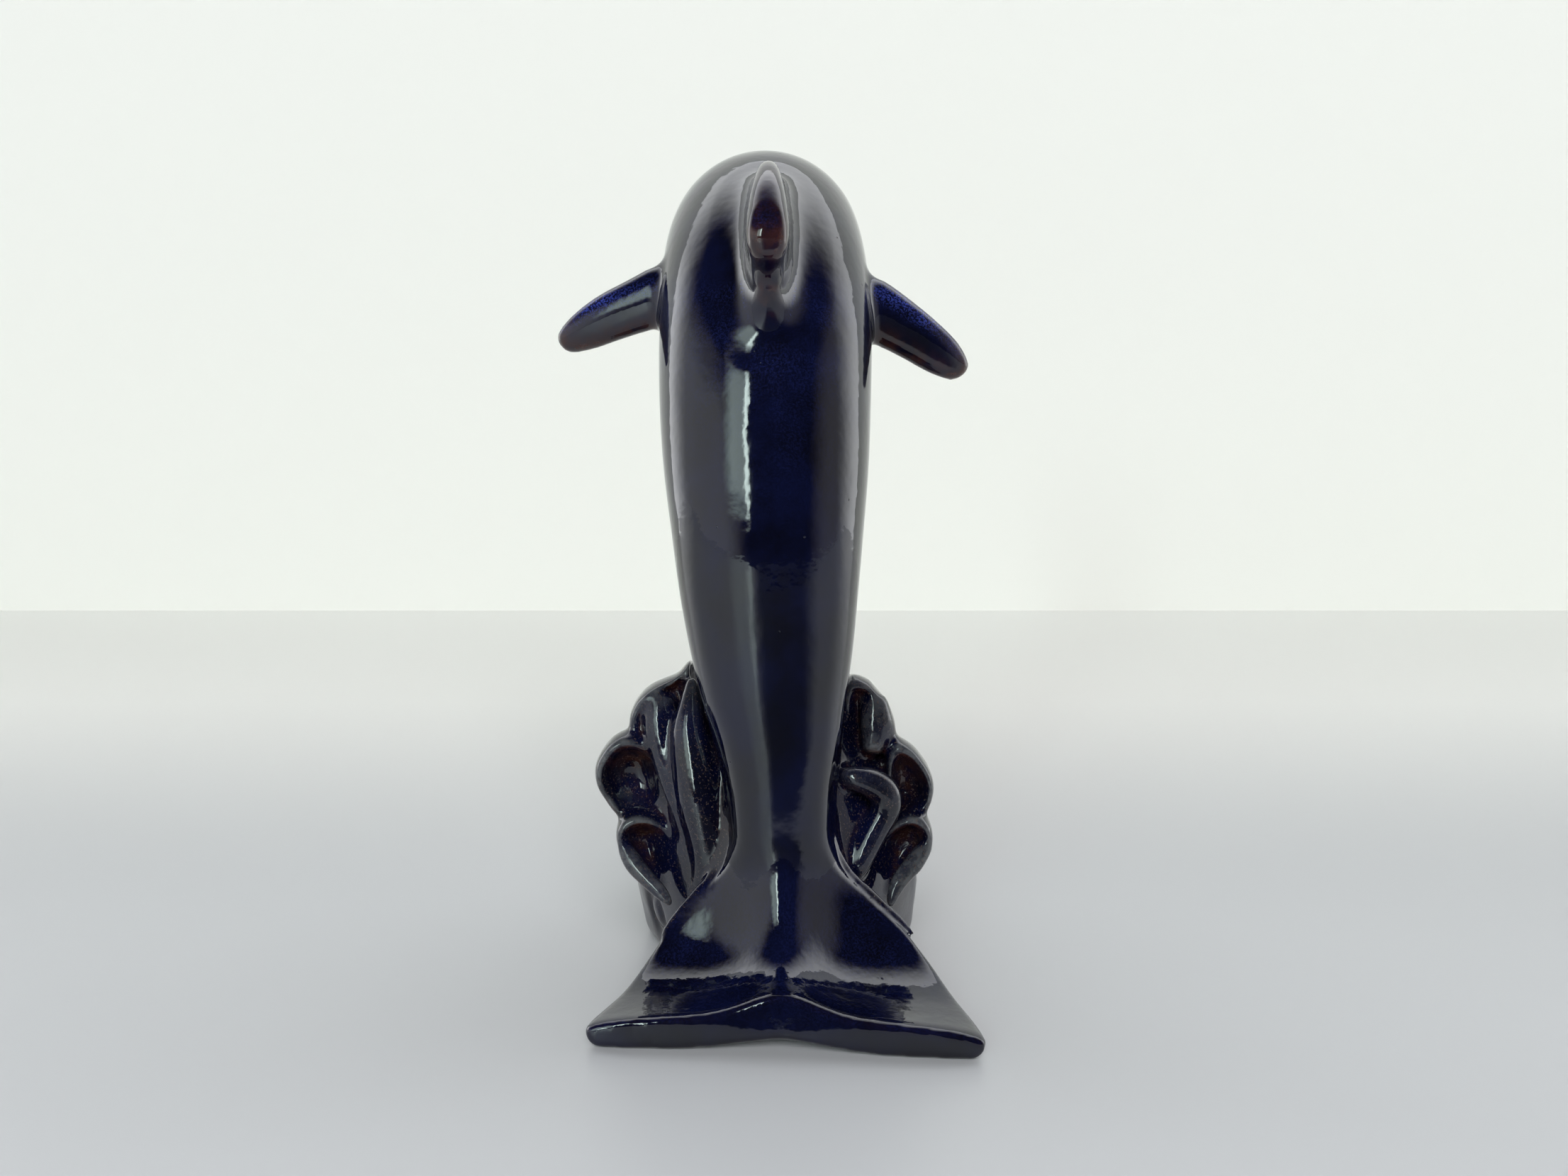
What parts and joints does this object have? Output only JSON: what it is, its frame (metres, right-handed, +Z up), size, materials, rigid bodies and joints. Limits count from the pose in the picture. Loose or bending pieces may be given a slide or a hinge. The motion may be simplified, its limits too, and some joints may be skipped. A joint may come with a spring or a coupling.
{
  "type": "dolphin figurine",
  "caption": "Free-standing glazed pottery dolphin arching up out of a curling wave, tail flukes spread flat on the table and head leaning over.",
  "frame": {"origin": "centre of the bounding box at the table", "axes": "+Z up from the table; -Y toward the dolphin's back and tail flukes; +Y toward its head; -X toward its left side"},
  "size_m": [0.0874, 0.1328, 0.1703],
  "materials": {
    "body_glaze": "deep navy, nearly black gloss glaze",
    "fluke_glaze": "deep navy, nearly black gloss glaze",
    "fin_glaze": "navy gloss glaze with cobalt specks above and rust breaks below",
    "wave_glaze": "nearly black gloss glaze, rust brown where it pools in hollows",
    "crest_glaze": "nearly black gloss glaze breaking rust brown on thin rims"
  },
  "bodies": {
    "root": {"dolphin_body": "body_glaze", "tail_flukes": "fluke_glaze", "dorsal_fin": "fin_glaze", "left_flipper": "fin_glaze", "right_flipper": "fin_glaze", "wave_base": "wave_glaze", "left_inner_roll": "wave_glaze", "right_inner_curl": "wave_glaze", "left_upper_crest": "crest_glaze", "left_middle_crest": "crest_glaze", "left_lower_crest": "crest_glaze", "right_upper_crest": "crest_glaze", "right_middle_crest": "crest_glaze", "right_lower_crest": "crest_glaze"}
  },
  "joints": []
}
